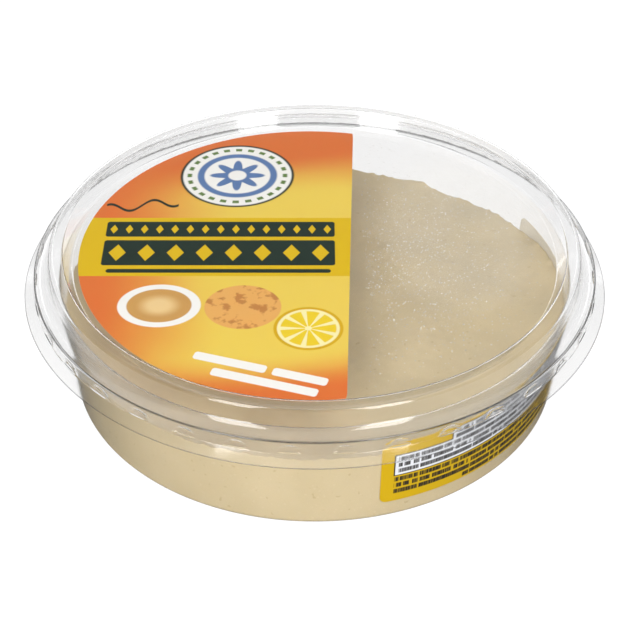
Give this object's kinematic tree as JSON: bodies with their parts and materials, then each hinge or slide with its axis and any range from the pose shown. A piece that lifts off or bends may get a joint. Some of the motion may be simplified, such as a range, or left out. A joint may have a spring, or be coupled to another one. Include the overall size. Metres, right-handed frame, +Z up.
{
  "type": "hummus tub",
  "caption": "Round clear tub of hummus with a clear recessed press-fit lid, a half-round printed label on the lid and a wrap label on the wall.",
  "frame": {"origin": "centre of the tub's base, on the surface that it stands on", "axes": "+Z up out of the lid, -Y toward the front of the pack, +X to the right, where the wall label is"},
  "size_m": [0.148, 0.148, 0.0396],
  "materials": {
    "clear_plastic": "clear, glossy formed sheet",
    "hummus_paste": "soft moist paste with a fine grain",
    "lid_print": "satin print in orange and yellow",
    "side_print": "satin print in yellow"
  },
  "bodies": {
    "root": {"tub": "clear_plastic", "hummus": "hummus_paste", "lid": "clear_plastic", "lid_label": "lid_print", "side_label": "side_print"}
  },
  "joints": []
}
